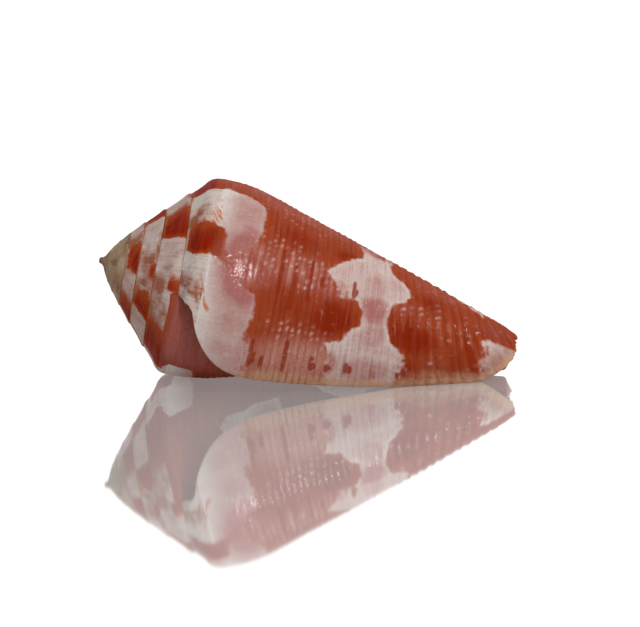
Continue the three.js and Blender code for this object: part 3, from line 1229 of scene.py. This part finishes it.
# Faces drawn up at the apex have no paint yet
def paintApex(shell):
    corners = cornerPoints(shell)
    fromApex = pointsOf(shell) - np.array(onAxis(0))
    near = np.linalg.norm(fromApex, axis=-1) < nipple["paintReach"] * mm
    for name in ("painted", "apex"):
        layer = shell.data.attributes[name]
        values = np.empty(len(shell.data.loops), np.float32)
        layer.data.foreach_get("value", values)
        values[near[corners]] = 1
        layer.data.foreach_set("value", values)


shell = makeShell()
paintApex(shell)
shell.data.materials.clear()
shell.data.materials.append(makeGlaze(shell.data.attributes))
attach(shell, "root")
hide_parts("shell")
print("shell painted")


# A plain pale floor with some polish, just below the shell's own flat spots
floorSize = 3.0
floorGap = 0.00002
floorLook = {
    "Base Color": (0.75, 0.75, 0.75, 1),
    "Metallic": 0.9,
    "Roughness": 0.05,
    "Emission Color": (1, 1, 1, 1),
    "Emission Strength": 0.19,
}


def makeFloor():
    bpy.ops.mesh.primitive_plane_add(size=floorSize, location=(0, 0, -floorGap))
    floor = bpy.context.object
    floor.name = "floor"
    material = bpy.data.materials.new("paleFloor")
    material.use_nodes = True
    surface = material.node_tree.nodes["Principled BSDF"]
    for name, value in floorLook.items():
        surface.inputs[name].default_value = value
    floor.data.materials.append(material)


studio = {
    "skyStrength": 1.2,
    "dimStrength": 0.4,  # of the sky on the side of the apex
    "dimFrom": (-1.0, -0.15),
    "front": (-0.7, 0.05, 0.5, 1),  # the sky behind the camera is dimmer
    "keyPlace": (0.135, -0.29, 0.25),
    "keySize": 0.05,
    "keyPower": 0.65,
    "catchPower": 4.0,  # of a light at the same place that only glints
    "zenith": (0.35, 0.85, 1, 0.7),  # heights between which the sky dims, and its shares there
    "aim": (0, 0, 0.005),
}


def makeLights():
    world = bpy.data.worlds.new("studio")
    world.use_nodes = True
    tree = world.node_tree
    towards = addNode(tree, "ShaderNodeTexCoord").outputs["Generated"]
    split = addNode(tree, "ShaderNodeSeparateXYZ", {0: towards})
    sky = ease(split.outputs["X"], *studio["dimFrom"], studio["dimStrength"], studio["skyStrength"])
    zenith = ease(split.outputs["Z"], *studio["zenith"])
    sky = times(sky, zenith, ease(split.outputs["Y"], *studio["front"]))
    tree.nodes["Background"].inputs["Color"].default_value = (1, 1, 1, 1)
    plug(tree.nodes["Background"].inputs["Strength"], sky)
    bpy.context.scene.world = world
    toAim = Vector(studio["aim"]) - Vector(studio["keyPlace"])
    for name, power in (("softKey", studio["keyPower"]), ("catchLight", studio["catchPower"])):
        bpy.ops.object.light_add(type="AREA", location=studio["keyPlace"])
        light = bpy.context.object
        light.name = name
        light.data.size = studio["keySize"]
        light.data.energy = power
        light.rotation_euler = toAim.to_track_quat("-Z", "Y").to_euler()
        light.visible_diffuse = name == "softKey"
        light.visible_glossy = name == "catchLight"
    glazed = bpy.data.collections.new("glazed")
    glazed.objects.link(shell)
    light.light_linking.receiver_collection = glazed  # the floor would mirror it


camera = {
    "target": (0.000635, 0, 0.003757),
    "elevation": math.radians(14),
    "distance": 0.13,
    "lens": 124.3,
    "sensor": 36.0,
    "clipStart": 0.01,
}


def makeCamera():
    back = Vector((0, -math.cos(camera["elevation"]), math.sin(camera["elevation"])))
    bpy.ops.object.camera_add(location=Vector(camera["target"]) + back * camera["distance"])
    view = bpy.context.object
    view.rotation_euler = (-back).to_track_quat("-Z", "Y").to_euler()
    view.data.sensor_fit = "HORIZONTAL"
    view.data.sensor_width = camera["sensor"]
    view.data.lens = camera["lens"]
    view.data.clip_start = camera["clipStart"]
    bpy.context.scene.camera = view


makeFloor()
makeLights()
makeCamera()
bpy.context.scene.view_settings.view_transform = "Standard"
print("floor, light and camera set")
